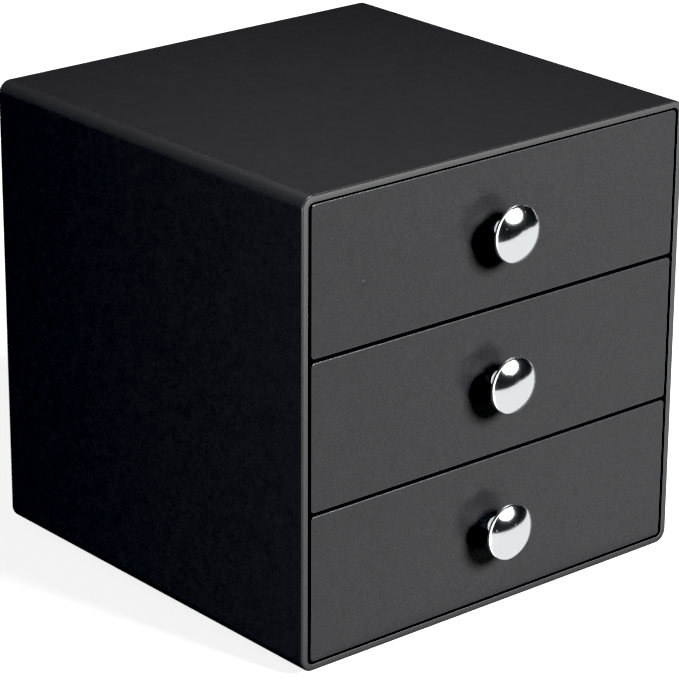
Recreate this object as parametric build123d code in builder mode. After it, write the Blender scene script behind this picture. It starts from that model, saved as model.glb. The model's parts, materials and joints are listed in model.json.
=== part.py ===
"""Desktop organizer: a moulded cube housing with three pull-out drawers, each with a turned mushroom knob.

Millimetres. +Z is up, the drawers open towards -Y, and the origin lies on the desk under the middle of the
closed organizer, halfway between the knobs' crowns and the back wall.
"""

import os
from math import asin, cos, degrees, radians, sin, tan

from build123d import *

os.makedirs("parts", exist_ok=True)

# Housing: one moulded shell, open only at the front
HOUSING_WIDTH = 165.0
HOUSING_HEIGHT = 161.0
HOUSING_DEPTH = 162.0
HOUSING_WALL = 2.5
HOUSING_BACK = 2.5
CAVITY_CORNER_RADIUS = 2.0
RIM_EDGE_RADIUS = 0.7
BACK_EDGE_RADIUS = 1.5

# Drawer fronts: flat panels that lie flush inside the rim, in tiers from the floor up
TIERS = ("bottom", "middle", "top")
FRONT_THICKNESS = 2.8
FRONT_SIDE_GAP = 0.9
FRONT_END_GAP = 0.5
FRONT_TIER_GAP = 1.1
FRONT_CORNER_RADIUS = 1.6
FRONT_EDGE_RADIUS = 0.4

# Drawer trays: thin drafted boxes moulded in one piece with their fronts
FRONT_SKIRT = 3.0
TRAY_WALL = 2.0
TRAY_DRAFT_DEGREES = 1.0
TRAY_INSIDE_CORNER_RADIUS = 4.0
TRAY_INSIDE_FLOOR_RADIUS = 1.2
TRAY_RIM_RADIUS = 0.6
TRAY_SIDE_CLEARANCE = 1.4
TRAY_BACK_CLEARANCE = 3.0
TRAY_HEADROOM = 5.0

# Runners: ledges on the side walls for the upper tiers, rails on the floor for the lowest one
RUNNER_THICKNESS = 2.0
RUNNER_BEARING = 4.0
RUNNER_EDGE_RADIUS = 0.5
RAIL_WIDTH = 2.4
RUNNING_CLEARANCE = 0.2
CLOSING_CLEARANCE = 0.3

# Knob: a flared neck under a wide low dome with a narrow rim, tapped from behind
KNOB_DIAMETER = 19.4
KNOB_DOME_RADIUS = 14.0
KNOB_RIM_LAND = 0.55
KNOB_RIM_CHAMFER = 0.6
KNOB_NECK_LENGTH = 7.4
KNOB_NECK_WALL = 1.2
KNOB_NECK_FLARE = 2.0
KNOB_RISE = 1.0

# Knob screw: a pan-head machine screw, driven from inside the drawer
SCREW_DIAMETER = 3.0
SCREW_HEAD_DIAMETER = 5.8
SCREW_HEAD_HEIGHT = 2.3
SCREW_HEAD_CHAMFER = 0.9
SCREW_ENGAGEMENT = 6.0
SCREW_TIP_CHAMFER = 0.4
SCREW_TIP_CLEARANCE = 1.0
SCREW_SIDE_CLEARANCE = 0.2
THREAD_CLEARANCE = 0.1
RECESS_LENGTH = 3.2
RECESS_WIDTH = 0.8
RECESS_DEPTH = 1.2

# Feet: soft round pads stuck under the four corners
FOOT_DIAMETER = 10.0
FOOT_HEIGHT = 2.0
FOOT_TAPER_DEGREES = 12.0
FOOT_EDGE_CHAMFER = 0.4
FOOT_INSET = 14.0

# The most of a thin wall's thickness that the round on one of its two edges may take
EDGE_SHARE = 0.45

# Places and sizes that follow from the ones above
knob_radius = KNOB_DIAMETER / 2
knob_rim_outer = KNOB_NECK_LENGTH + KNOB_RIM_CHAMFER + KNOB_RIM_LAND
knob_dome_angle = asin(knob_radius / KNOB_DOME_RADIUS)
knob_projection = knob_rim_outer + KNOB_DOME_RADIUS * (1 - cos(knob_dome_angle))
tapped_radius = SCREW_DIAMETER / 2 + THREAD_CLEARANCE
neck_radius = tapped_radius + KNOB_NECK_WALL

front_y = (knob_projection - HOUSING_DEPTH) / 2
front_back_y = front_y + FRONT_THICKNESS
cavity_back_y = front_y + HOUSING_DEPTH - HOUSING_BACK
housing_z = FOOT_HEIGHT
housing_middle_z = housing_z + HOUSING_HEIGHT / 2
cavity_floor_z = housing_z + HOUSING_WALL
cavity_width = HOUSING_WIDTH - 2 * HOUSING_WALL
cavity_height = HOUSING_HEIGHT - 2 * HOUSING_WALL

front_width = cavity_width - 2 * FRONT_SIDE_GAP
front_stack = cavity_height - 2 * FRONT_END_GAP - (len(TIERS) - 1) * FRONT_TIER_GAP
front_height = front_stack / len(TIERS)
tier_pitch = front_height + FRONT_TIER_GAP

tray_height = tier_pitch - RUNNER_THICKNESS - RUNNING_CLEARANCE - TRAY_HEADROOM
tray_lean = tray_height * tan(radians(TRAY_DRAFT_DEGREES))
tray_floor_width = cavity_width - 2 * (TRAY_SIDE_CLEARANCE + tray_lean)
tray_floor_back_y = cavity_back_y - TRAY_BACK_CLEARANCE - tray_lean
tray_corner_radius = TRAY_INSIDE_CORNER_RADIUS + TRAY_WALL
tray_floor_radius = TRAY_INSIDE_FLOOR_RADIUS + TRAY_WALL
tray_rim_radius = min(TRAY_RIM_RADIUS, EDGE_SHARE * TRAY_WALL)
tray_overrun = tray_corner_radius + tray_floor_radius + tray_lean
tray_blank_length = tray_floor_back_y - front_y + tray_overrun
tray_flat_half_width = tray_floor_width / 2 - tray_floor_radius

runner_front_y = front_back_y + CLOSING_CLEARANCE
runner_length = cavity_back_y - runner_front_y
runner_inner_x = tray_flat_half_width - RUNNER_BEARING
runner_width = cavity_width / 2 - runner_inner_x
runner_edge_radius = min(RUNNER_EDGE_RADIUS, EDGE_SHARE * RUNNER_THICKNESS)
rail_x = tray_flat_half_width - RUNNER_BEARING / 2

FRONT_PLANE = Plane(origin=(0, front_y, 0), x_dir=(1, 0, 0), z_dir=(0, -1, 0))
RUNNER_PLANE = Plane(origin=(0, runner_front_y, 0), x_dir=(1, 0, 0), z_dir=(0, -1, 0))


def front_bottom_z(tier):
    """Height of the lower edge of a tier's drawer front."""
    return cavity_floor_z + FRONT_END_GAP + tier * tier_pitch


def tray_floor_z(tier):
    """Height of the underside of a tier's tray."""
    return front_bottom_z(tier) + FRONT_SKIRT


def knob_z(tier):
    """Height of the axis of a tier's knob."""
    return front_bottom_z(tier) + front_height / 2 + KNOB_RISE


# Housing: the outline of the front run back, hollowed from the front, with runners inside
with BuildPart() as housing:
    with BuildSketch(FRONT_PLANE):
        with Locations((0, housing_middle_z)):
            RectangleRounded(HOUSING_WIDTH, HOUSING_HEIGHT, CAVITY_CORNER_RADIUS + HOUSING_WALL)
    extrude(amount=-HOUSING_DEPTH)
    fillet(housing.faces().sort_by(Axis.Y)[0].edges(), radius=RIM_EDGE_RADIUS)
    fillet(housing.faces().sort_by(Axis.Y)[-1].edges(), radius=BACK_EDGE_RADIUS)
    with BuildSketch(FRONT_PLANE):
        with Locations((0, housing_middle_z)):
            RectangleRounded(cavity_width, cavity_height, CAVITY_CORNER_RADIUS)
    extrude(amount=-(HOUSING_DEPTH - HOUSING_BACK), mode=Mode.SUBTRACT)

    # The upper tiers' ledges, whose front ends stop the closing drawers
    for tier in range(1, len(TIERS)):
        ledge_z = tray_floor_z(tier) - RUNNING_CLEARANCE - RUNNER_THICKNESS / 2
        with BuildSketch(RUNNER_PLANE) as ledges:
            with Locations((runner_inner_x + runner_width / 2, ledge_z)):
                Rectangle(runner_width, RUNNER_THICKNESS)
            fillet(ledges.vertices().group_by(Axis.X)[0], radius=runner_edge_radius)
            mirror(about=Plane.YZ)
        extrude(amount=-runner_length)

    # The lowest tier's rails
    rail_height = tray_floor_z(0) - RUNNING_CLEARANCE - cavity_floor_z
    with BuildSketch(RUNNER_PLANE):
        with Locations((rail_x, cavity_floor_z + rail_height / 2)):
            Rectangle(RAIL_WIDTH, rail_height)
        mirror(about=Plane.YZ)
    extrude(amount=-runner_length)

housing.part.label = "housing"
export_step(housing.part, "parts/housing.step")

# Drawers, with their knobs and screws
for tier, tier_name in enumerate(TIERS):
    knob_seat = (0, front_y, knob_z(tier))
    screw_seat = (0, front_back_y, knob_z(tier))

    # Tray: a drafted box, shelled from the top, rounded along its floor and cut off square at the front panel
    with BuildPart() as drawer:
        floor_plane = Plane.XY.offset(tray_floor_z(tier))
        with BuildSketch(floor_plane):
            with Locations((0, tray_floor_back_y - tray_blank_length / 2)):
                RectangleRounded(tray_floor_width, tray_blank_length, tray_corner_radius)
        extrude(amount=tray_height)
        draft(drawer.faces().filter_by(Axis.Z, reverse=True), floor_plane, -TRAY_DRAFT_DEGREES)
        offset(amount=-TRAY_WALL, openings=drawer.faces().sort_by(Axis.Z)[-1])
        fillet(drawer.faces().filter_by(Axis.Z).sort_by(Axis.Z)[1].edges(), radius=TRAY_INSIDE_FLOOR_RADIUS)
        fillet(drawer.faces().sort_by(Axis.Z)[0].edges(), radius=tray_floor_radius)
        fillet(drawer.faces().sort_by(Axis.Z)[-1].edges(), radius=tray_rim_radius)
        split(bisect_by=Plane(origin=(0, front_back_y, 0), z_dir=(0, 1, 0)), keep=Keep.TOP)

        # Front panel, with its softened outer edge and the screw's hole
        with BuildSketch(FRONT_PLANE):
            with Locations((0, front_bottom_z(tier) + front_height / 2)):
                RectangleRounded(front_width, front_height, FRONT_CORNER_RADIUS)
        extrude(amount=-FRONT_THICKNESS)
        fillet(drawer.faces().sort_by(Axis.Y)[0].edges(), radius=FRONT_EDGE_RADIUS)
        with Locations(Plane(origin=knob_seat, z_dir=(0, -1, 0))):
            Hole(radius=SCREW_DIAMETER / 2 + SCREW_SIDE_CLEARANCE, depth=FRONT_THICKNESS)

    drawer.part.label = f"drawer_{tier_name}"
    export_step(drawer.part, f"parts/drawer_{tier_name}.step")

    # Knob: half its section turned about its axis, then tapped from behind; x runs outwards, y is the radius
    with BuildPart() as knob:
        with BuildSketch(Plane(origin=knob_seat, x_dir=(0, -1, 0), z_dir=(-1, 0, 0))):
            with BuildLine():
                base = Line((0, 0), (0, neck_radius))
                neck = Line(base @ 1, (KNOB_NECK_LENGTH - KNOB_NECK_FLARE, neck_radius))
                flare = Line(neck @ 1, (KNOB_NECK_LENGTH, neck_radius + KNOB_NECK_FLARE))
                underside = Line(flare @ 1, (KNOB_NECK_LENGTH, knob_radius - KNOB_RIM_CHAMFER))
                bevel = Line(underside @ 1, (KNOB_NECK_LENGTH + KNOB_RIM_CHAMFER, knob_radius))
                land = Line(bevel @ 1, (knob_rim_outer, knob_radius))
                dome_start = (sin(knob_dome_angle), -cos(knob_dome_angle))
                dome = JernArc(land @ 1, dome_start, KNOB_DOME_RADIUS, -degrees(knob_dome_angle))
                Line(dome @ 1, base @ 0)
            make_face()
        revolve(axis=Axis(knob_seat, (0, -1, 0)))
        with Locations(Plane(origin=knob_seat, z_dir=(0, 1, 0))):
            Hole(radius=tapped_radius, depth=SCREW_ENGAGEMENT + SCREW_TIP_CLEARANCE)

    knob.part.label = f"knob_{tier_name}"
    export_step(knob.part, f"parts/knob_{tier_name}.step")

    # Screw: a bevelled pan head with a cross recess, inside the front, and a shank that reaches into the knob
    with BuildPart() as screw:
        head_plane = Plane(origin=screw_seat, x_dir=(1, 0, 0), z_dir=(0, 1, 0))
        with BuildSketch(head_plane):
            Circle(SCREW_HEAD_DIAMETER / 2)
        extrude(amount=SCREW_HEAD_HEIGHT)
        chamfer(screw.faces().sort_by(Axis.Y)[-1].edges(), length=SCREW_HEAD_CHAMFER)
        with BuildSketch(head_plane.offset(SCREW_HEAD_HEIGHT)):
            Rectangle(RECESS_LENGTH, RECESS_WIDTH)
            Rectangle(RECESS_WIDTH, RECESS_LENGTH)
        extrude(amount=-RECESS_DEPTH, mode=Mode.SUBTRACT)
        with BuildSketch(head_plane):
            Circle(SCREW_DIAMETER / 2)
        extrude(amount=-(FRONT_THICKNESS + SCREW_ENGAGEMENT))
        chamfer(screw.faces().sort_by(Axis.Y)[0].edges(), length=SCREW_TIP_CHAMFER)

    screw.part.label = f"knob_screw_{tier_name}"
    export_step(screw.part, f"parts/knob_screw_{tier_name}.step")

# Feet: one tapered pad under each corner, half its section turned about its axis; y runs down
foot_radius = FOOT_DIAMETER / 2
foot_lean = FOOT_HEIGHT * tan(radians(FOOT_TAPER_DEGREES))
foot_x = HOUSING_WIDTH / 2 - FOOT_INSET
foot_ys = {"front": front_y + FOOT_INSET, "back": front_y + HOUSING_DEPTH - FOOT_INSET}
for row_name, foot_y in foot_ys.items():
    for side_name, side in (("left", -1), ("right", 1)):
        with BuildPart() as foot:
            foot_top = (side * foot_x, foot_y, housing_z)
            with BuildSketch(Plane(origin=foot_top, x_dir=(1, 0, 0), z_dir=(0, 1, 0))) as section:
                with BuildLine():
                    top = Line((0, 0), (foot_radius, 0))
                    flank = Line(top @ 1, (foot_radius - foot_lean, FOOT_HEIGHT))
                    Polyline(flank @ 1, (0, FOOT_HEIGHT), top @ 0)
                make_face()
                chamfer(section.vertices().group_by(Axis.Y)[-1].sort_by(Axis.X)[-1], length=FOOT_EDGE_CHAMFER)
            revolve(axis=Axis(foot_top, (0, 0, 1)))

        foot.part.label = f"foot_{row_name}_{side_name}"
        export_step(foot.part, f"parts/foot_{row_name}_{side_name}.step")
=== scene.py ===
# %% [markdown]
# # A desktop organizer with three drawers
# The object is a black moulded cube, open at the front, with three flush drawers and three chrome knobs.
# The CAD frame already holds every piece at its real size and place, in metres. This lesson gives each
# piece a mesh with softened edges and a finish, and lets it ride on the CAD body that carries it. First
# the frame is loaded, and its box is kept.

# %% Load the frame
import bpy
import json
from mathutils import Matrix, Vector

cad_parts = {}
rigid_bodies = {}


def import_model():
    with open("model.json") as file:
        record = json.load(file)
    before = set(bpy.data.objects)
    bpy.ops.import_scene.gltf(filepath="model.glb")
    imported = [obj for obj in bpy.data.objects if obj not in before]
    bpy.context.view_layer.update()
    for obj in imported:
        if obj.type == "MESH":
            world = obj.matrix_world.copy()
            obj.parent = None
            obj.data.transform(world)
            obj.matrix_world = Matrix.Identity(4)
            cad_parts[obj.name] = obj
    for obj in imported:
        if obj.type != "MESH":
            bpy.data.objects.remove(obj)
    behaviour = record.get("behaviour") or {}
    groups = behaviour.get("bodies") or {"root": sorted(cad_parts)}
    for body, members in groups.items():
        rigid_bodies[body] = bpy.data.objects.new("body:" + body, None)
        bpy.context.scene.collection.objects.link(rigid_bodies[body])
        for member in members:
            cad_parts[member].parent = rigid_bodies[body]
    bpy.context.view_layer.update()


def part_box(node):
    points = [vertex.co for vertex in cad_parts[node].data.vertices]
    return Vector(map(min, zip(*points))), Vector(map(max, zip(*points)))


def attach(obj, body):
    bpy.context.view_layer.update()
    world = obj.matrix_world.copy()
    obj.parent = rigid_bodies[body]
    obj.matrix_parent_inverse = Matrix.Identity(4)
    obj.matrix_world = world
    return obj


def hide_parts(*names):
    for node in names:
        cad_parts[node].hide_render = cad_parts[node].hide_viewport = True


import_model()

MM = 0.001

# %% [markdown]
# ## The camera
# The camera comes first, because it decides what has to look right. The organizer's edges hardly converge
# in the photograph, so it was taken from far off with a long lens, from the left and from above. The
# place is written as a photographer would say it: the point looked at, the angle round the object, the
# angle above it and the distance.

# %% Set the camera
import json
from math import asin, cos, pi, radians, sin, tan

import bmesh
import bpy
from mathutils import Quaternion, Vector

LOOK_AT = Vector((0.35, 5.23, 73.26)) * MM
CAMERA_AZIMUTH = radians(-40.3)
CAMERA_ELEVATION = radians(20.91)
CAMERA_ROLL = radians(0.3)
CAMERA_DISTANCE = 1152.8 * MM
CAMERA_LENS = 176.96
CAMERA_NEAR = 50.0 * MM


def direction(azimuth, elevation):
    """The way from the object to a viewer or a lamp; azimuth 0 is in front, positive to the right."""
    return Vector((sin(azimuth) * cos(elevation), -cos(azimuth) * cos(elevation), sin(elevation)))


view_back = direction(CAMERA_AZIMUTH, CAMERA_ELEVATION)
view_turn = (-view_back).to_track_quat("-Z", "Y") @ Quaternion((0, 0, 1), CAMERA_ROLL)
bpy.ops.object.camera_add(location=LOOK_AT + view_back * CAMERA_DISTANCE, rotation=view_turn.to_euler())
camera = bpy.context.object
camera.name = "camera"
camera.data.lens = CAMERA_LENS
camera.data.clip_start = CAMERA_NEAR
bpy.context.scene.camera = camera
print("camera at", [round(value, 3) for value in camera.location])

# %% [markdown]
# ## Tools for modelling
# Operators act on whatever is selected, and the frame arrives with every CAD node selected. So each piece
# starts by putting everything down. A piece begins as a block between two corners. Its place and size are
# then moved into its mesh, so that later sizes are true metres.


# %% Pick things up and put them down
def put_down():
    """Leaves edit mode and deselects everything."""
    if bpy.context.mode != "OBJECT":
        bpy.ops.object.mode_set(mode="OBJECT")
    bpy.ops.object.select_all(action="DESELECT")


def take(piece):
    """Makes one piece the only selected and active one."""
    put_down()
    piece.select_set(True)
    bpy.context.view_layer.objects.active = piece


def work_on(piece):
    """Takes a piece into edit mode."""
    take(piece)
    bpy.ops.object.mode_set(mode="EDIT")


def settle(name):
    """Names the object just added and moves its place and size into its mesh."""
    bpy.ops.object.transform_apply(location=True, rotation=True, scale=True)
    piece = bpy.context.object
    piece.name = name
    piece.data.name = name
    return piece


def block(name, low, high):
    """A new block between two corners."""
    put_down()
    low, high = Vector(low), Vector(high)
    bpy.ops.mesh.primitive_cube_add(size=1, location=(low + high) / 2, scale=high - low)
    return settle(name)


# %% [markdown]
# In edit mode the habit is always the same: pick faces or edges by where they lie, and use one operator
# on them. Numbers of faces change with every edit, but places don't, so places are the safer way to pick.

# %% Choose by place
X, Y, Z = range(3)
TOUCH = 0.01 * MM
NEARLY_ALL = 0.99
UPRIGHT = 0.5


def pick(piece, kind, wanted):
    """Selects the faces or edges that pass a test, and says how many there are."""
    bpy.ops.mesh.select_mode(type=kind)
    bpy.ops.mesh.select_all(action="DESELECT")
    mesh = bmesh.from_edit_mesh(piece.data)
    chosen = [item for item in (mesh.faces if kind == "FACE" else mesh.edges) if wanted(item)]
    for item in chosen:
        item.select_set(True)
    bmesh.update_edit_mesh(piece.data)
    return len(chosen)


def lies_at(item, axis, place):
    """True where a whole face or edge lies in one plane across an axis."""
    return all(abs(corner.co[axis] - place) < TOUCH for corner in item.verts)


def runs_along(edge, axis):
    """True where an edge runs along an axis, or nearly so."""
    run = edge.verts[1].co - edge.verts[0].co
    return abs(run[axis]) > NEARLY_ALL * run.length


def beside_wall(edge, axis):
    """True where one of an edge's faces stands along an axis, as a wall does."""
    return any(abs(face.normal[axis]) < UPRIGHT for face in edge.link_faces)


def round_off(radius, steps):
    """Rounds the picked edges."""
    bpy.ops.mesh.bevel(offset=radius, segments=steps, affect="EDGES", clamp_overlap=False)


def push(move):
    """Extrudes whatever is picked by a move."""
    bpy.ops.mesh.extrude_region_move(TRANSFORM_OT_translate={"value": move, "orient_type": "GLOBAL"})


print("touching means within", round(TOUCH / MM, 3), "mm")

# %% [markdown]
# Two blocks that are one moulding on the real object become one skin with a Boolean modifier. The same
# modifier cuts a hole with a block shaped like the hole. Either way it is applied at once, and the helper
# block is thrown away.

# %% Weld, cut and clean
DOUBLED = TOUCH / 10


def combine(piece, others, operation):
    """Welds other blocks to a piece, or cuts them out of it, and removes them."""
    for other in others:
        take(piece)
        bpy.ops.object.modifier_add(type="BOOLEAN")
        joint = piece.modifiers[-1]
        joint.operation = operation
        joint.solver = "EXACT"
        joint.object = other
        bpy.ops.object.modifier_apply(modifier=joint.name)
        bpy.data.objects.remove(other)


def clean(piece):
    """Merges doubled corners and turns all faces outwards."""
    work_on(piece)
    bpy.ops.mesh.select_all(action="SELECT")
    bpy.ops.mesh.remove_doubles(threshold=DOUBLED)
    bpy.ops.mesh.normals_make_consistent(inside=False)
    put_down()


print("corners closer than", round(DOUBLED / MM, 4), "mm count as one")

# %% [markdown]
# A flat wall next to a small round looks bent when the shading is a plain average at each corner. So the
# corners are weighted by the size of their faces, and only edges sharper than a set angle stay hard. A
# finished piece gets its finish, stands for a CAD node, and rides on the body that carries that node.

# %% Smooth and hand over
HARD_EDGE = radians(40.0)


def smooth(piece):
    """Shades curved stretches smooth, and keeps flats flat by weighting corners by their faces' size."""
    take(piece)
    bpy.ops.object.shade_smooth_by_angle(angle=HARD_EDGE)
    bpy.ops.object.modifier_add(type="WEIGHTED_NORMAL")
    piece.modifiers[-1].keep_sharp = True
    bpy.ops.object.modifier_apply(modifier=piece.modifiers[-1].name)


def hand_over(piece, node, body, finish):
    """Gives a piece its finish, lets it stand for a CAD node and lets it ride on that node's body."""
    piece.data.materials.clear()
    piece.data.materials.append(finish)
    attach(piece, body)
    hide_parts(node)
    print(piece.name, "stands for", node, "with", len(piece.data.polygons), "faces")


print("edges sharper than", round(HARD_EDGE, 2), "radians stay hard")

# %% [markdown]
# ## Finishes
# Three effects come back in several finishes, so each is a node group: a fine grain, as a sparked mould
# leaves it, a cloudy mottle, and small specks. A group takes the place on the object and its own sizes,
# and puts out a value that changes over the surface. The shader itself stays in each material.


# %% Node helpers
def new_group(name, sockets_in, sockets_out):
    """An empty shader group with number inputs, a Place vector and value outputs."""
    group = bpy.data.node_groups.new(name, "ShaderNodeTree")
    group.interface.new_socket(name="Place", in_out="INPUT", socket_type="NodeSocketVector")
    for socket in sockets_in:
        group.interface.new_socket(name=socket, in_out="INPUT", socket_type="NodeSocketFloat")
    for socket in sockets_out:
        group.interface.new_socket(name=socket, in_out="OUTPUT", socket_type="NodeSocketFloat")
    return group, group.nodes.new("NodeGroupInput"), group.nodes.new("NodeGroupOutput")


def feed(tree, socket, value):
    """Gives an input socket a number, or links the output of another node to it."""
    if isinstance(value, bpy.types.NodeSocket):
        tree.links.new(value, socket)
    else:
        socket.default_value = value


def math_node(tree, operation, *values):
    """A Math node whose inputs are sockets or numbers; gives its output."""
    node = tree.nodes.new("ShaderNodeMath")
    node.operation = operation
    for socket, value in zip(node.inputs, values):
        feed(tree, socket, value)
    return node.outputs["Value"]


def noise_node(tree, place, scale, detail, roughness=0.5):
    """A Noise texture read at a place; gives its value output."""
    node = tree.nodes.new("ShaderNodeTexNoise")
    node.inputs["Detail"].default_value = detail
    node.inputs["Roughness"].default_value = roughness
    tree.links.new(place, node.inputs["Vector"])
    feed(tree, node.inputs["Scale"], scale)
    return node.outputs["Fac"]


def ramp_node(tree, value, low, high, to_low=0.0, to_high=1.0):
    """A smooth Map Range from one stretch of values to another; gives its output."""
    node = tree.nodes.new("ShaderNodeMapRange")
    node.interpolation_type = "SMOOTHSTEP"
    tree.links.new(value, node.inputs["Value"])
    for socket, number in (("From Min", low), ("From Max", high), ("To Min", to_low), ("To Max", to_high)):
        feed(tree, node.inputs[socket], number)
    return node.outputs["Result"]


print("node helpers ready,", len(bpy.data.node_groups), "groups so far")

# %% [markdown]
# The grain is a fine noise with its contrast raised. The mottle adds finer and finer clouds to a broad
# one, and swings about a shade of one. The specks take the cells of a Voronoi texture, keep a few of them
# by their random colour, and mark a small disc in the middle of each.

# %% Shared effects
GRAIN_DETAIL = 2.0
GRAIN_LOW, GRAIN_HIGH = 0.3, 0.7
CLOUD_DETAIL = 6.0
CLOUD_ROUGHNESS = 0.65
CLOUD_MIDDLE = 0.5

grain_group, grain_in, grain_out = new_group("mould_grain", ["Grains per metre"], ["Height"])
grains_per_metre = grain_in.outputs["Grains per metre"]
grain_fine = noise_node(grain_group, grain_in.outputs["Place"], grains_per_metre, GRAIN_DETAIL)
grain_height = ramp_node(grain_group, grain_fine, GRAIN_LOW, GRAIN_HIGH)
grain_group.links.new(grain_height, grain_out.inputs["Height"])

mottle_group, mottle_in, mottle_out = new_group("cloudy_mottle", ["Clouds per metre", "Depth"], ["Shade"])
clouds_per_metre = mottle_in.outputs["Clouds per metre"]
cloud = noise_node(
    mottle_group, mottle_in.outputs["Place"], clouds_per_metre, CLOUD_DETAIL, CLOUD_ROUGHNESS
)
cloud_swing = math_node(mottle_group, "SUBTRACT", cloud, CLOUD_MIDDLE)
cloud_shade = math_node(mottle_group, "MULTIPLY_ADD", cloud_swing, mottle_in.outputs["Depth"], 1.0)
mottle_group.links.new(cloud_shade, mottle_out.inputs["Shade"])

speck_group, speck_in, speck_out = new_group("small_specks", ["Cells per metre", "Share", "Size"], ["Mask"])
speck_cells = speck_group.nodes.new("ShaderNodeTexVoronoi")
speck_group.links.new(speck_in.outputs["Place"], speck_cells.inputs["Vector"])
speck_group.links.new(speck_in.outputs["Cells per metre"], speck_cells.inputs["Scale"])
speck_tint = speck_group.nodes.new("ShaderNodeSeparateColor")
speck_group.links.new(speck_cells.outputs["Color"], speck_tint.inputs["Color"])
speck_kept = math_node(speck_group, "LESS_THAN", speck_tint.outputs["Red"], speck_in.outputs["Share"])
speck_reach = math_node(speck_group, "MULTIPLY", speck_tint.outputs["Green"], speck_in.outputs["Size"])
speck_disc = math_node(speck_group, "LESS_THAN", speck_cells.outputs["Distance"], speck_reach)
speck_mask = math_node(speck_group, "MULTIPLY", speck_kept, speck_disc)
speck_group.links.new(speck_mask, speck_out.inputs["Mask"])
print("effects:", [group.name for group in (grain_group, mottle_group, speck_group)])

# %% [markdown]
# Every finish starts in the same way: one shader with plain values, and the object's own coordinates, so
# that the pattern stays on a drawer when it slides. After that an effect can shade the colour, change the
# gloss or raise a bump.


# %% Start a finish
def start_finish(name, color, roughness, metallic=0.0):
    """A material with its shader's plain values set, and the object's own coordinates ready to read."""
    finish = bpy.data.materials.new(name)
    finish.use_nodes = True
    tree = finish.node_tree
    shader = tree.nodes["Principled BSDF"]
    shader.inputs["Base Color"].default_value = (*color, 1.0)
    shader.inputs["Roughness"].default_value = roughness
    shader.inputs["Metallic"].default_value = metallic
    place = tree.nodes.new("ShaderNodeTexCoord").outputs["Object"]
    return finish, tree, shader, place


def add_effect(tree, group, place, **values):
    """Puts a shared effect into a finish with its own sizes; gives its output."""
    node = tree.nodes.new("ShaderNodeGroup")
    node.node_tree = group
    tree.links.new(place, node.inputs["Place"])
    for socket, value in values.items():
        node.inputs[socket.replace("_", " ")].default_value = value
    return node.outputs[0]


def tint(tree, shader, color, shade):
    """Base colour as a plain colour times a shade that changes over the surface."""
    scale = tree.nodes.new("ShaderNodeVectorMath")
    scale.operation = "SCALE"
    scale.inputs[0].default_value = color
    tree.links.new(shade, scale.inputs["Scale"])
    tree.links.new(scale.outputs["Vector"], shader.inputs["Base Color"])


def bump(tree, shader, height, distance, strength):
    """Bump of a real depth in metres."""
    node = tree.nodes.new("ShaderNodeBump")
    node.inputs["Distance"].default_value = distance
    node.inputs["Strength"].default_value = strength
    tree.links.new(height, node.inputs["Height"])
    tree.links.new(node.outputs["Normal"], shader.inputs["Normal"])


print("finishes can be started,", len(bpy.data.node_groups), "effects to choose from")

# %% [markdown]
# ### Black moulded plastic
# The plastic is black all through, with a satin skin. It isn't one flat colour: the mould leaves a fine
# grain, the melt flows in faint clouds and flecks, and small dark pits and pale dust sit on it. All of it
# is subtle, and is meant to be found only on a close look. The housing is duller and more even than the
# drawers, so one function makes both from two numbers.

# %% Black plastic
PLASTIC = (0.030, 0.030, 0.031)
HOUSING_ROUGHNESS = 0.46
HOUSING_UNEVENNESS = 0.05
DRAWER_ROUGHNESS = 0.27
DRAWER_UNEVENNESS = 0.08
CLOUD_DEPTH = 2.5
PIT_SHADE = -0.35
DUST_SHADE = 0.8
GLOSS_DEPTH = 0.06
SKIN_DEPTH = 0.02 * MM
SKIN_STRENGTH = 0.3


def black_plastic(name, roughness, unevenness):
    """The satin black of the housing and the drawers, more or less uneven in its shade."""
    finish, tree, shader, place = start_finish(name, PLASTIC, roughness)
    depth = CLOUD_DEPTH * unevenness
    clouds = add_effect(tree, mottle_group, place, Clouds_per_metre=180.0, Depth=depth)
    grains = add_effect(tree, grain_group, place, Grains_per_metre=1400.0)
    pits = add_effect(tree, speck_group, place, Cells_per_metre=260.0, Share=0.03, Size=0.15)
    dust = add_effect(tree, speck_group, place, Cells_per_metre=190.0, Share=0.012, Size=0.12)
    pitted = math_node(tree, "MULTIPLY_ADD", pits, PIT_SHADE, clouds)
    dusted = math_node(tree, "MULTIPLY_ADD", dust, DUST_SHADE, pitted)
    flecks = ramp_node(tree, grains, 0.0, 1.0, 1 - unevenness, 1 + unevenness)
    tint(tree, shader, PLASTIC, math_node(tree, "MULTIPLY", dusted, flecks))
    gloss = add_effect(tree, mottle_group, place, Clouds_per_metre=90.0, Depth=GLOSS_DEPTH)
    tree.links.new(math_node(tree, "MULTIPLY", gloss, roughness), shader.inputs["Roughness"])
    skin = add_effect(tree, grain_group, place, Grains_per_metre=3500.0)
    bump(tree, shader, skin, SKIN_DEPTH, SKIN_STRENGTH)
    return finish


housing_plastic = black_plastic("housing_plastic", HOUSING_ROUGHNESS, HOUSING_UNEVENNESS)
drawer_plastic = black_plastic("drawer_plastic", DRAWER_ROUGHNESS, DRAWER_UNEVENNESS)
print("finishes:", housing_plastic.name, drawer_plastic.name)

# %% [markdown]
# ### Chrome
# The knobs are plated: the head is nearly a mirror, with small marks and a faint waviness under the
# plating that makes reflected edges wander. The neck is dull, as plating in a recess often is. One finish
# can hold both, because the place along the knob's axis can decide how rough the plating is.

# %% Chrome
CHROME = (0.90, 0.91, 0.92)
POLISHED = 0.14
DULL = 0.95
DULL_LENGTH = 5.0 * MM
MARK_ROUGHNESS = 0.4
PEEL_PER_METRE = 1500.0
PEEL_DETAIL = 3.0
PEEL_DEPTH = 0.012 * MM
PEEL_STRENGTH = 0.8

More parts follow.
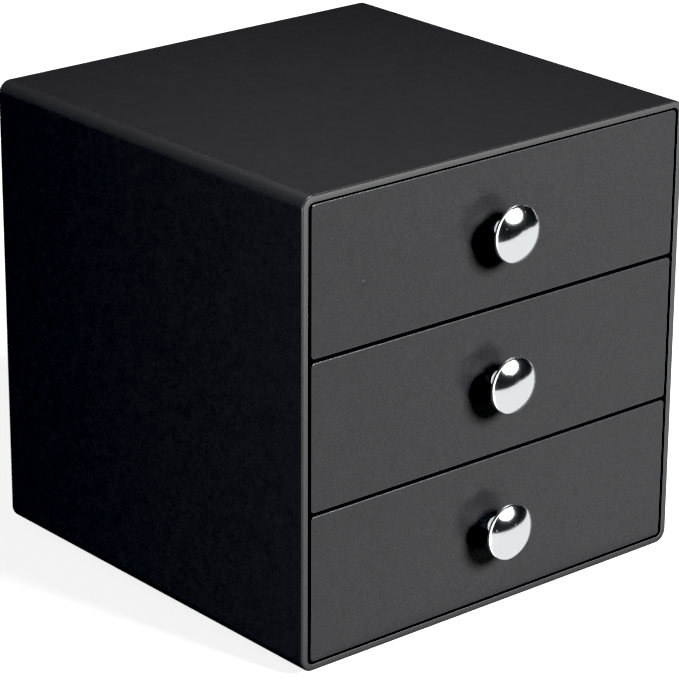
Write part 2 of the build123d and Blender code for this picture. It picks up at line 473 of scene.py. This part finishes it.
neck_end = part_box("drawer_bottom")[0].y - DULL_LENGTH
chrome, tree, shader, place = start_finish("knob_chrome", CHROME, POLISHED, metallic=1.0)
haze = add_effect(tree, mottle_group, place, Clouds_per_metre=500.0, Depth=0.8)
depth_in = tree.nodes.new("ShaderNodeSeparateXYZ")
tree.links.new(place, depth_in.inputs["Vector"])
rough = ramp_node(tree, depth_in.outputs["Y"], neck_end - MM, neck_end, POLISHED, DULL)
marks = add_effect(tree, speck_group, place, Cells_per_metre=900.0, Share=0.3, Size=0.2)
rough_marks = math_node(tree, "MULTIPLY", marks, MARK_ROUGHNESS)
marked = math_node(tree, "MULTIPLY_ADD", haze, rough, rough_marks)
tree.links.new(marked, shader.inputs["Roughness"])
peel = noise_node(tree, place, PEEL_PER_METRE, PEEL_DETAIL)
bump(tree, shader, peel, PEEL_DEPTH, PEEL_STRENGTH)
print("finish:", chrome.name, "dull for", round(DULL_LENGTH / MM, 1), "mm from the front")

# %% [markdown]
# ### Steel and rubber
# The screws are plain zinc-plated steel, cloudy in their shade and in their gloss. The feet are soft dark
# rubber with a coarse grain. The screws sit inside and the feet underneath, so a few effects are enough.

# %% Steel and rubber
STEEL = (0.55, 0.55, 0.56)
STEEL_ROUGHNESS = 0.3
RUBBER = (0.018, 0.018, 0.018)
RUBBER_ROUGHNESS = 0.85
RUBBER_GRAIN_DEPTH = 0.04 * MM
RUBBER_GRAIN_STRENGTH = 0.6

steel, tree, shader, place = start_finish("screw_steel", STEEL, STEEL_ROUGHNESS, metallic=1.0)
haze = add_effect(tree, mottle_group, place, Clouds_per_metre=900.0, Depth=0.9)
tree.links.new(math_node(tree, "MULTIPLY", haze, STEEL_ROUGHNESS), shader.inputs["Roughness"])
tint(tree, shader, STEEL, add_effect(tree, mottle_group, place, Clouds_per_metre=600.0, Depth=0.4))

rubber, tree, shader, place = start_finish("foot_rubber", RUBBER, RUBBER_ROUGHNESS)
tint(tree, shader, RUBBER, add_effect(tree, mottle_group, place, Clouds_per_metre=700.0, Depth=0.6))
grain = add_effect(tree, grain_group, place, Grains_per_metre=2500.0)
bump(tree, shader, grain, RUBBER_GRAIN_DEPTH, RUBBER_GRAIN_STRENGTH)
print("finishes:", steel.name, rubber.name)

# %% [markdown]
# ## The housing
# The housing is one moulding: a cube with rounded long corners, one wall thick all round. A block gets
# its four long edges rounded, then its front face is inset by the wall and pushed back almost to the
# rear. An inset keeps the same distance everywhere, so the cavity's corners come out with the radius that
# the moulding has.

# %% Housing: block, corners and cavity
WALL = 2.5 * MM
BACK_WALL = 2.5 * MM
CAVITY_CORNER = 2.0 * MM

house_low, house_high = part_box("housing")
house_middle = (house_low + house_high) / 2
housing = block("organizer_housing", house_low, house_high)
work_on(housing)
pick(housing, "EDGE", lambda edge: runs_along(edge, Y))
round_off(CAVITY_CORNER + WALL, steps=12)
pick(housing, "FACE", lambda face: lies_at(face, Y, house_low.y))
bpy.ops.mesh.inset(thickness=WALL)
push((0, house_high.y - house_low.y - BACK_WALL, 0))
put_down()
print("cavity", round((house_high.x - house_low.x - 2 * WALL) / MM, 1), "mm wide")

# %% [markdown]
# The rim is soft to the touch: its outer edge has a small round, its inner edge only a break, and the
# rear edges are rounder. An edge belongs to the outside if one of its faces looks away from the middle of
# the housing.

# %% Housing: softened edges
RIM_ROUND = 0.7 * MM
RIM_BREAK = 0.25 * MM
REAR_ROUND = 1.5 * MM


def outward(face):
    """How far a wall looks away from the middle of the housing; 0 for faces across the depth."""
    if abs(face.normal.y) >= UPRIGHT:
        return 0.0
    return face.normal.dot(face.calc_center_median() - house_middle)


def looks_out(face):
    """True on the outer walls."""
    return outward(face) > 0


def looks_in(face):
    """True on the walls of the cavity, which look back at the middle."""
    return outward(face) < 0


work_on(housing)
for place_y, side, radius, steps in (
    (house_low.y, looks_in, RIM_BREAK, 2),
    (house_low.y, looks_out, RIM_ROUND, 4),
    (house_high.y, looks_out, REAR_ROUND, 5),
):
    found = pick(
        housing, "EDGE", lambda edge: lies_at(edge, Y, place_y) and any(map(side, edge.link_faces)),
    )
    round_off(radius, steps)
    print("rounded", found, "edges to", round(radius / MM, 2), "mm")
put_down()

# %% [markdown]
# Inside, the two upper drawers run on ledges along the side walls and the lowest one on two rails on the
# floor. A ledge's top follows its drawer: it lies a running gap below the tray, which starts a little
# above the lower edge of the drawer's front. Each runner reaches into the walls that carry it, so that
# the weld leaves one clean skin.

# %% Housing: sizes of the runners
FRONT_THICKNESS = 2.8 * MM
FRONT_SKIRT = 3.0 * MM
RUNNING_GAP = 0.2 * MM
CLOSING_GAP = 0.3 * MM
LEDGE_THICKNESS = 2.0 * MM
LEDGE_BEARING = 4.0 * MM
TRAY_DRAFT = radians(1.0)
TRAY_HEADROOM = 5.0 * MM
TRAY_SIDE_GAP = 1.4 * MM
TRAY_FLOOR_ROUND = 3.2 * MM
WELD_DEPTH = 1.0 * MM

tier_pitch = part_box("drawer_middle")[0].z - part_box("drawer_bottom")[0].z
tray_height = tier_pitch - LEDGE_THICKNESS - RUNNING_GAP - TRAY_HEADROOM
tray_lean = tray_height * tan(TRAY_DRAFT)
ledge_width = TRAY_SIDE_GAP + tray_lean + TRAY_FLOOR_ROUND + LEDGE_BEARING
rail_from_wall = ledge_width - LEDGE_BEARING / 2
runner_front = house_low.y + FRONT_THICKNESS + CLOSING_GAP
runner_back = house_high.y - BACK_WALL + WELD_DEPTH
cavity_half = house_high.x - WALL
cavity_floor = house_low.z + WALL
print("ledges", round(ledge_width / MM, 1), "mm wide, trays", round(tray_height / MM, 1), "mm high")

# %% [markdown]
# A ledge has its free edges rounded, because a tray slides over them. The rails are narrow enough to stay
# plain. All six are welded to the housing, which is then finished and handed over.

# %% Housing: ledges and rails
LEDGE_ROUND = 0.5 * MM
RAIL_WIDTH = 2.4 * MM


def runner_top(tier):
    """The top of a tier's runners: the underside of its tray less the running gap."""
    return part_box("drawer_" + tier)[0].z + FRONT_SKIRT - RUNNING_GAP


runners = []
for side in (-1, 1):
    for tier in ("middle", "top"):
        inner, outer = side * (cavity_half - ledge_width), side * (cavity_half + WELD_DEPTH)
        ledge_low = (min(inner, outer), runner_front, runner_top(tier) - LEDGE_THICKNESS)
        ledge = block("ledge", ledge_low, (max(inner, outer), runner_back, runner_top(tier)))
        work_on(ledge)
        pick(ledge, "EDGE", lambda edge: runs_along(edge, Y) and lies_at(edge, X, inner))
        round_off(LEDGE_ROUND, steps=3)
        put_down()
        runners.append(ledge)
    rail_x = side * (cavity_half - rail_from_wall)
    rail_low = (rail_x - RAIL_WIDTH / 2, runner_front, cavity_floor - WELD_DEPTH)
    runners.append(block("rail", rail_low, (rail_x + RAIL_WIDTH / 2, runner_back, runner_top("bottom"))))
print("welding", len(runners), "runners")
combine(housing, runners, "UNION")
clean(housing)
smooth(housing)
hand_over(housing, "housing", "housing", housing_plastic)

# %% [markdown]
# ## The drawers
# A drawer is one moulding too: a flat front and a thin tray behind it. The tray's walls lean outwards by
# a degree, so that it leaves its mould. It starts as a block whose underside is scaled in, gets its rear
# corners and its lower edges rounded, and is hollowed from the top by an inset and a push down.

# %% Drawer: tray
TRAY_WALL = 2.0 * MM
TRAY_CORNER = 6.0 * MM
TRAY_INSIDE_ROUND = 1.2 * MM
TRAY_RIM_ROUND = 0.6 * MM
TRAY_EMBED = 0.1 * MM


def lean_in(piece, height, corner, share):
    """Scales a level face towards the front so that the walls above it lean by the draft."""
    pick(piece, "FACE", lambda face: lies_at(face, Z, height))
    reach = corner - Vector((0, tray_front, 0))
    scale_x = 1 - share * tray_lean / reach.x
    scale_y = 1 - share * tray_lean / reach.y
    bpy.ops.transform.resize(value=(scale_x, scale_y, 1), center_override=(0, tray_front, height))


drawer_low, drawer_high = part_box("drawer_bottom")
tray_front = drawer_low.y + FRONT_THICKNESS - TRAY_WALL - TRAY_EMBED
tray_floor = drawer_low.z + FRONT_SKIRT
tray_rim = tray_floor + tray_height
tray_half = cavity_half - TRAY_SIDE_GAP
tray_corner = Vector((tray_half, drawer_high.y, 0))
inner_floor = tray_floor + TRAY_WALL
inner_corner = tray_corner - Vector((TRAY_WALL, TRAY_WALL, 0))

tray = block("tray", (-tray_half, tray_front, tray_floor), (tray_half, drawer_high.y, tray_rim))
work_on(tray)
lean_in(tray, tray_floor, tray_corner, 1.0)
pick(tray, "EDGE", lambda edge: runs_along(edge, Z) and edge.verts[0].co.y > 0)
round_off(TRAY_CORNER, steps=8)
pick(tray, "EDGE", lambda edge: lies_at(edge, Z, tray_floor) and not lies_at(edge, Y, tray_front))
round_off(TRAY_FLOOR_ROUND, steps=6)
pick(tray, "FACE", lambda face: lies_at(face, Z, tray_rim))
bpy.ops.mesh.inset(thickness=TRAY_WALL)
push((0, 0, TRAY_WALL - tray_height))
lean_in(tray, inner_floor, inner_corner, 1 - TRAY_WALL / tray_height)
pick(tray, "EDGE", lambda edge: lies_at(edge, Z, inner_floor))
round_off(TRAY_INSIDE_ROUND, steps=4)
pick(tray, "EDGE", lambda edge: lies_at(edge, Z, tray_rim) and beside_wall(edge, Z))
round_off(TRAY_RIM_ROUND, steps=3)
put_down()
print("tray", round(2 * tray_half / MM, 1), "mm wide at its rim")

# %% [markdown]
# The front is a flat panel with small round corners and a fine round along its outer edge. It is welded
# to the tray, and the hole for the knob's screw goes through it.

# %% Drawer: front and hole
FRONT_CORNER = 1.6 * MM
FRONT_ROUND = 0.4 * MM
SCREW_HOLE = 3.4 * MM
HOLE_SIDES = 48


def middle_of(node):
    """The middle of a CAD node's box."""
    low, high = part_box(node)
    return (low + high) / 2


front_back = drawer_low.y + FRONT_THICKNESS
front = block("drawer_front", drawer_low, (drawer_high.x, front_back, drawer_high.z))
work_on(front)
pick(front, "EDGE", lambda edge: runs_along(edge, Y))
round_off(FRONT_CORNER, steps=8)
pick(front, "EDGE", lambda edge: lies_at(edge, Y, drawer_low.y))
round_off(FRONT_ROUND, steps=3)
put_down()

combine(front, [tray], "UNION")
knob_axis = middle_of("knob_bottom")
bpy.ops.mesh.primitive_cylinder_add(
    vertices=HOLE_SIDES, radius=SCREW_HOLE / 2, depth=3 * FRONT_THICKNESS,
    location=(0, drawer_low.y, knob_axis.z), rotation=(pi / 2, 0, 0),
)
combine(front, [settle("hole")], "DIFFERENCE")
clean(front)
smooth(front)
print("one drawer with", len(front.data.polygons), "faces")

# %% [markdown]
# The three drawers are alike, so one is modelled and copied to the three tiers. Each copy gets its own
# mesh, and its move is settled into that mesh. The finish reads the mesh's places, so the grain and the
# specks differ from one drawer to the next. Knobs and screws are copied in the same way later.

# %% Drawer: three copies
TIERS = ("bottom", "middle", "top")


def one_per_tier(model, name, node, finish):
    """Copies a model to every tier, hands the copies over and removes the model."""
    for tier in TIERS:
        piece = model.copy()
        piece.data = model.data.copy()
        bpy.context.scene.collection.objects.link(piece)
        take(piece)
        lift = middle_of(f"{node}_{tier}").z - middle_of(f"{node}_bottom").z
        bpy.ops.transform.translate(value=(0, 0, lift))
        hand_over(settle(f"{name}_{tier}"), f"{node}_{tier}", f"drawer_{tier}", finish)
    bpy.data.objects.remove(model)


one_per_tier(front, "pull_drawer", "drawer", drawer_plastic)

# %% [markdown]
# ## The knobs
# The real knob is turned on a lathe, and Spin is Blender's lathe. Half of a section is drawn as a chain
# of points, by extruding one corner from point to point, and the chain is spun round the axis. A Screw
# modifier would do as well, but Spin leaves a plain mesh at once.

# %% A lathe
LATHE_STEPS = 96
QUARTER = pi / 2


def arc(middle, reach, start, end, steps):
    """Points of a round stretch; a turn of 0 points along the axis, a quarter turn points away from it."""
    turns = [start + (end - start) * step / steps for step in range(steps + 1)]
    return [(middle[0] + reach * cos(turn), middle[1] + reach * sin(turn)) for turn in turns]


def turn_on_lathe(name, seat, outwards, section, steps):
    """Spins a section, given as distances outwards from the seat and radii, round the seat's axis."""
    points = [seat + outwards * along + Vector((0, 0, radius)) for along, radius in section]
    put_down()
    bpy.ops.mesh.primitive_plane_add(size=MM, location=points[0])
    piece = settle(name)
    work_on(piece)
    bpy.ops.mesh.merge(type="CENTER")
    bpy.ops.mesh.select_mode(type="VERT")
    bpy.ops.mesh.select_all(action="SELECT")
    for start, end in zip(points, points[1:]):
        push(end - start)
    bpy.ops.mesh.select_all(action="SELECT")
    bpy.ops.mesh.spin(steps=steps, angle=2 * pi, center=seat, axis=outwards)
    put_down()
    clean(piece)
    print(name, "spun from", len(section), "points in", steps, "steps")
    return piece


print("a lathe step turns", round(2 * pi / LATHE_STEPS, 3), "radians")

# %% [markdown]
# The knob is a mushroom: a slim neck that flares under a domed head with a rounded rim. Its section
# starts at the bottom of the tapped hole, runs out round the neck, and ends on the crown. The round of
# the rim touches the dome where both have the same slope, and that place follows from their radii.

# %% Knob: section, spin and copies
KNOB_NECK_LENGTH = 7.4 * MM
KNOB_NECK_RADIUS = 2.8 * MM
KNOB_NECK_FILLET = 2.0 * MM
KNOB_SEAT_BREAK = 0.2 * MM
KNOB_RIM_BREAK = 0.15 * MM
KNOB_RIM_ROUND = 0.9 * MM
KNOB_DOME_RADIUS = 14.0 * MM
TAPPED_RADIUS = 1.6 * MM
TAPPED_DEPTH = 7.0 * MM

knob_low, knob_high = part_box("knob_bottom")
knob_radius = (knob_high.x - knob_low.x) / 2
rim_out = knob_radius - KNOB_RIM_ROUND
dome_inside = KNOB_DOME_RADIUS - KNOB_RIM_ROUND
dome_turn = asin(rim_out / dome_inside)
dome_along = knob_high.y - knob_low.y - KNOB_DOME_RADIUS
rim_along = dome_along + dome_inside * cos(dome_turn)
throat = (KNOB_NECK_LENGTH - KNOB_NECK_FILLET, KNOB_NECK_RADIUS + KNOB_NECK_FILLET)
knob_section = [
    (TAPPED_DEPTH, 0.0),
    (TAPPED_DEPTH, TAPPED_RADIUS),
    (KNOB_SEAT_BREAK, TAPPED_RADIUS),
    (0.0, TAPPED_RADIUS + KNOB_SEAT_BREAK),
    (0.0, KNOB_NECK_RADIUS - KNOB_SEAT_BREAK),
    (KNOB_SEAT_BREAK, KNOB_NECK_RADIUS),
    *arc(throat, KNOB_NECK_FILLET, -QUARTER, 0, steps=10),
    (KNOB_NECK_LENGTH, knob_radius - KNOB_RIM_BREAK),
    (KNOB_NECK_LENGTH + KNOB_RIM_BREAK, knob_radius),
    *arc((rim_along, rim_out), KNOB_RIM_ROUND, QUARTER, dome_turn, steps=10),
    *arc((dome_along, 0), KNOB_DOME_RADIUS, dome_turn, 0, steps=32)[1:],
]

front_face = Vector((0, knob_high.y, knob_axis.z))
knob = turn_on_lathe("turned_knob", front_face, Vector((0, -1, 0)), knob_section, LATHE_STEPS)
smooth(knob)
one_per_tier(knob, "chrome_knob", "knob", chrome)

# %% [markdown]
# ## The screws
# Each knob is held by a pan-head screw from inside its drawer. It is turned on the same lathe, and the
# cross in its head is cut with two crossed blocks.

# %% Screw: section, recess and copies
SCREW_RADIUS = 1.5 * MM
SCREW_HEAD_RADIUS = 2.9 * MM
SCREW_HEAD_HEIGHT = 2.3 * MM
SCREW_HEAD_ROUND = 1.1 * MM
SCREW_TIP = 0.4 * MM
RECESS_LENGTH = 3.2 * MM
RECESS_WIDTH = 0.8 * MM
RECESS_DEPTH = 1.2 * MM

screw_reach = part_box("knob_screw_bottom")[0].y - front_back
head_round = (SCREW_HEAD_HEIGHT - SCREW_HEAD_ROUND, SCREW_HEAD_RADIUS - SCREW_HEAD_ROUND)
screw_section = [
    (screw_reach, 0.0),
    (screw_reach, SCREW_RADIUS - SCREW_TIP),
    (screw_reach + SCREW_TIP, SCREW_RADIUS),
    (0.0, SCREW_RADIUS),
    (0.0, SCREW_HEAD_RADIUS),
    *arc(head_round, SCREW_HEAD_ROUND, QUARTER, 0, steps=8),
    (SCREW_HEAD_HEIGHT, 0.0),
]
screw_seat = Vector((0, front_back, knob_axis.z))
screw = turn_on_lathe("turned_screw", screw_seat, Vector((0, 1, 0)), screw_section, LATHE_STEPS // 2)

recess_middle = screw_seat + Vector((0, SCREW_HEAD_HEIGHT, 0))
bars = []
for wide, high in ((RECESS_LENGTH, RECESS_WIDTH), (RECESS_WIDTH, RECESS_LENGTH)):
    half = Vector((wide, 2 * RECESS_DEPTH, high)) / 2
    bars.append(block("recess_bar", recess_middle - half, recess_middle + half))
combine(screw, bars, "DIFFERENCE")
clean(screw)
smooth(screw)
one_per_tier(screw, "steel_screw", "knob_screw", steel)

# %% [markdown]
# ## The feet
# Four soft pads keep the light box from sliding while a drawer is pulled. A pad is a short cone with a
# rounded lower edge and a shallow dish underneath, so that it grips on its ring.

# %% Feet
FOOT_SIDES = 64
FOOT_TAPER = radians(12.0)
FOOT_ROUND = 0.4 * MM
FOOT_RING = 1.4 * MM
FOOT_DISH = 0.25 * MM

for row in ("front", "back"):
    for hand in ("left", "right"):
        node = f"foot_{row}_{hand}"
        foot_low, foot_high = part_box(node)
        foot_height = foot_high.z - foot_low.z
        foot_radius = (foot_high.x - foot_low.x) / 2
        put_down()
        bpy.ops.mesh.primitive_cone_add(
            vertices=FOOT_SIDES, radius1=foot_radius - foot_height * tan(FOOT_TAPER), radius2=foot_radius,
            depth=foot_height, location=(foot_low + foot_high) / 2,
        )
        foot = settle(f"rubber_foot_{row}_{hand}")
        work_on(foot)
        pick(foot, "EDGE", lambda edge: lies_at(edge, Z, foot_low.z))
        round_off(FOOT_ROUND, steps=3)
        pick(foot, "FACE", lambda face: lies_at(face, Z, foot_low.z))
        bpy.ops.mesh.inset(thickness=FOOT_RING)
        bpy.ops.mesh.inset(thickness=FOOT_DISH)
        bpy.ops.transform.translate(value=(0, 0, FOOT_DISH))
        put_down()
        clean(foot)
        smooth(foot)
        hand_over(foot, node, "housing", rubber)

# %% [markdown]
# ## The studio
# The photograph's ground is plain white. The floor is pale and glows a little, so that it comes out
# nearly white with only a faint shadow. It is kept out of reflections and bounced light, so that the
# sides of the organizer stay as dark as in the photograph.

# %% Floor
PALE = (0.92, 0.92, 0.92)
WHITE = (1.0, 1.0, 1.0)
FLOOR_SIZE = 8.0
FLOOR_ROUGHNESS = 0.9
FLOOR_GLOW = 0.85

put_down()
bpy.ops.mesh.primitive_plane_add(size=FLOOR_SIZE, location=(0, 0, 0))
floor = settle("floor")
floor_finish, tree, shader, place = start_finish("pale_floor", PALE, FLOOR_ROUGHNESS)
shader.inputs["Emission Color"].default_value = (*WHITE, 1.0)
shader.inputs["Emission Strength"].default_value = FLOOR_GLOW
floor.data.materials.append(floor_finish)
floor.visible_diffuse = False
floor.visible_glossy = False
print("floor", FLOOR_SIZE, "m wide")

# %% [markdown]
# The surroundings are white to the camera and nearly black to everything else, so the lamps alone decide
# what the object mirrors. The photograph has deep blacks, which a small black point in the colour
# management gives.

# %% Surroundings and tone
SURROUND_GLOW = 0.055
BLACK_POINT = 0.045

world = bpy.data.worlds.new("studio")
bpy.context.scene.world = world
world.use_nodes = True
sky = world.node_tree
dim = sky.nodes["Background"]
dim.inputs["Color"].default_value = (*PALE, 1.0)
dim.inputs["Strength"].default_value = SURROUND_GLOW
bright = sky.nodes.new("ShaderNodeBackground")
bright.inputs["Color"].default_value = (*WHITE, 1.0)
seen = sky.nodes.new("ShaderNodeLightPath")
choose = sky.nodes.new("ShaderNodeMixShader")
sky.links.new(seen.outputs["Is Camera Ray"], choose.inputs["Fac"])
sky.links.new(dim.outputs["Background"], choose.inputs[1])
sky.links.new(bright.outputs["Background"], choose.inputs[2])
sky.links.new(choose.outputs["Shader"], sky.nodes["World Output"].inputs["Surface"])

tone = bpy.context.scene.view_settings
tone.view_transform = "Standard"
tone.use_curve_mapping = True
tone.curve_mapping.black_level = (BLACK_POINT, BLACK_POINT, BLACK_POINT)
tone.curve_mapping.update()
print("surroundings glow", SURROUND_GLOW, "and the black point is", BLACK_POINT)

# %% [markdown]
# A photographer keeps light off a thing with flags. Light linking does the same here: each lamp gets a
# collection of the pieces that it may light. Black plastic and chrome need it, because a lamp that suits
# one of them would show as a wrong reflection in the other.

# %% Lamp helpers
UP = Vector((0, 0, 1))
HOUSING_PIECE = "organizer_housing"
DRAWER_PIECES = "pull_drawer_"
PLASTIC_PIECES = (HOUSING_PIECE, DRAWER_PIECES)
CHROME_PIECES = "chrome_knob_"


def lamp(name, place, towards, size, power):
    """A glowing rectangle that is seen in reflections and not by the camera."""
    put_down()
    turn = (pi, 0, 0) if towards == UP else towards.to_track_quat("-Z", "Y").to_euler()
    bpy.ops.object.light_add(type="AREA", location=place, rotation=turn)
    made = bpy.context.object
    made.name = name
    made.data.shape = "RECTANGLE"
    made.data.size, made.data.size_y = size
    made.data.energy = power
    made.visible_camera = False
    return made


def card(name, place, towards, size, glow):
    """A lamp whose power makes its surface look as bright as glow."""
    return lamp(name, place, towards, size, glow * pi * size[0] * size[1])


def shine_only_on(made, kind):
    """Lets a lamp light the pieces whose names start with the given words, and nothing else."""
    lit = bpy.data.collections.new("lit_by_" + made.name)
    for piece in bpy.data.objects:
        if piece.name.startswith(kind):
            lit.objects.link(piece)
    made.light_linking.receiver_collection = lit


front_middle = Vector((0, house_low.y, house_middle.z))
print("lamps are placed from the middle of the front,", round(front_middle.z / MM, 1), "mm high")

# %% [markdown]
# The main lamp of the photograph is a broad softbox, high and a little to the right. It lights the
# drawers, the small hidden pieces and the floor, and gives each knob its black shadow. The housing has
# lamps of its own, because its top would mirror the softbox as a glare to someone behind it.

# %% Softbox
SOFTBOX_AZIMUTH = radians(22.0)
SOFTBOX_ELEVATION = radians(28.0)
SOFTBOX_DISTANCE = 2.2
SOFTBOX_SIZE = (1.0, 0.8)
SOFTBOX_POWER = 142.0

softbox_way = direction(SOFTBOX_AZIMUTH, SOFTBOX_ELEVATION)
softbox_place = front_middle + softbox_way * SOFTBOX_DISTANCE
softbox = lamp("softbox", softbox_place, -softbox_way, SOFTBOX_SIZE, SOFTBOX_POWER)
softbox.data.shape = "ELLIPSE"
shine_only_on(softbox, (DRAWER_PIECES, "rubber_foot_", "steel_screw_", "floor"))

# %% [markdown]
# The satin plastic mirrors a pale table as a sheen, to someone who looks down at it. So a card lies on
# the floor in front, on the right and behind. Where a knob stands in the way of the sheen, a dim disc
# appears on the front, up and to the left of the knob. The cards light only the plastic.

# %% Table for the plastic
TABLE_HEIGHT = 0.002
# each side has its middle, its size and its glow
TABLE_SIDES = {
    "front_table": (Vector((0.45, -0.48, TABLE_HEIGHT)), (1.08, 0.8), 0.66),
    "right_table": (Vector((0.575, 0.5, TABLE_HEIGHT)), (0.95, 1.1), 1.3),
    "rear_table": (Vector((0.01, 0.575, TABLE_HEIGHT)), (0.18, 0.95), 1.3),
}

for name, (place_at, size, glow) in TABLE_SIDES.items():
    shine_only_on(card(name, place_at, UP, size, glow), PLASTIC_PIECES)

# %% [markdown]
# The photograph's left wall is nearly black, so no card lies there. Low lamps far off light the housing
# alone. The front one lights the rim. The left one, a little cooler, and the rear one give a sheen to
# someone who faces those walls, and hardly any from where the photograph was taken. A small lamp above
# the front half lights the top. A long thin lamp high above the rim lights the inside of open drawers,
# and the housing hides it from closed ones.

# %% Fill lamps for the plastic
FILL_HEIGHT = 0.065
FILL_SIZE = (0.9, 0.12)
COOL = (0.99, 1.0, 1.02)
# each lamp has its place, its power and its colour
FILLS = {
    "front_fill": (Vector((0.75, -1.93, FILL_HEIGHT)), 60.0, WHITE),
    "left_fill": (Vector((-1.9, -0.62, FILL_HEIGHT)), 50.0, COOL),
    "rear_fill": (Vector((0.4, 2.1, FILL_HEIGHT)), 36.0, WHITE),
}
OVERHEAD_PLACE = Vector((0.0, -0.035, 0.74))
OVERHEAD_SIZE = (0.09, 0.07)
OVERHEAD_POWER = 5.85
TRAY_LAMP_PLACE = Vector((0.0, -0.062, 0.9))
TRAY_LAMP_SIZE = (1.2, 0.02)
TRAY_LAMP_POWER = 20.0

for name, (place_at, power, color) in FILLS.items():
    fill = lamp(name, place_at, (house_middle - place_at).normalized(), FILL_SIZE, power)
    fill.data.color = color
    shine_only_on(fill, HOUSING_PIECE)
shine_only_on(lamp("overhead", OVERHEAD_PLACE, -UP, OVERHEAD_SIZE, OVERHEAD_POWER), PLASTIC_PIECES)
shine_only_on(lamp("tray_lamp", TRAY_LAMP_PLACE, -UP, TRAY_LAMP_SIZE, TRAY_LAMP_POWER), DRAWER_PIECES)

# %% [markdown]
# The chrome shows the room, so the knobs get a room of their own. White paper lies on the table, with a
# near edge that runs at a slant, and a second sheet lies on the left. A round glow high on the right
# stands for the softbox. The thin white ring round each knob, and the bright crescent on its right, come
# from white walls. All of these light only the knobs.

# %% Paper, glint and walls for the chrome
LEFT_GLOW = 1.8
# each sheet has its middle, its size, its slant and its glow
PAPERS = {
    "paper": (Vector((0.5, -0.42, TABLE_HEIGHT)), (3.4, 1.0), radians(-54.2), 0.82),
    "left_paper": (Vector((-0.541, -0.085, TABLE_HEIGHT)), (0.9, 0.8), radians(49.0), LEFT_GLOW),
}
GLINT_AZIMUTH = radians(17.0)
GLINT_ELEVATION = radians(39.0)
GLINT_SIZE = (2.0, 1.4)
GLINT_GLOW = 3.0
# each wall has its middle, the way it faces, its size and its glow
WALLS = {
    "back_wall": (Vector((0.0, 0.8, 0.45)), Vector((0, -1, 0)), (2.6, 0.9), 1.0),
    "right_wall": (Vector((1.2, 0.4, 0.45)), Vector((-1, 0, 0)), (0.8, 0.9), 1.0),
    "left_wall": (Vector((-0.9, -0.2, 0.45)), Vector((1, 0, 0)), (1.3, 0.9), 2 * LEFT_GLOW),
    "left_ceiling": (Vector((-0.5, 0.0, 1.0)), -UP, (1.4, 1.4), LEFT_GLOW),
}

for name, (place_at, size, slant, glow) in PAPERS.items():
    paper = card(name, place_at, UP, size, glow)
    paper.rotation_euler = (pi, 0, slant)
    shine_only_on(paper, CHROME_PIECES)
glint_way = direction(GLINT_AZIMUTH, GLINT_ELEVATION)
glint = card("glint", front_middle + glint_way * SOFTBOX_DISTANCE, -glint_way, GLINT_SIZE, GLINT_GLOW)
glint.data.shape = "ELLIPSE"
shine_only_on(glint, CHROME_PIECES)
for name, (place_at, way, size, glow) in WALLS.items():
    shine_only_on(card(name, place_at, way, size, glow), CHROME_PIECES)
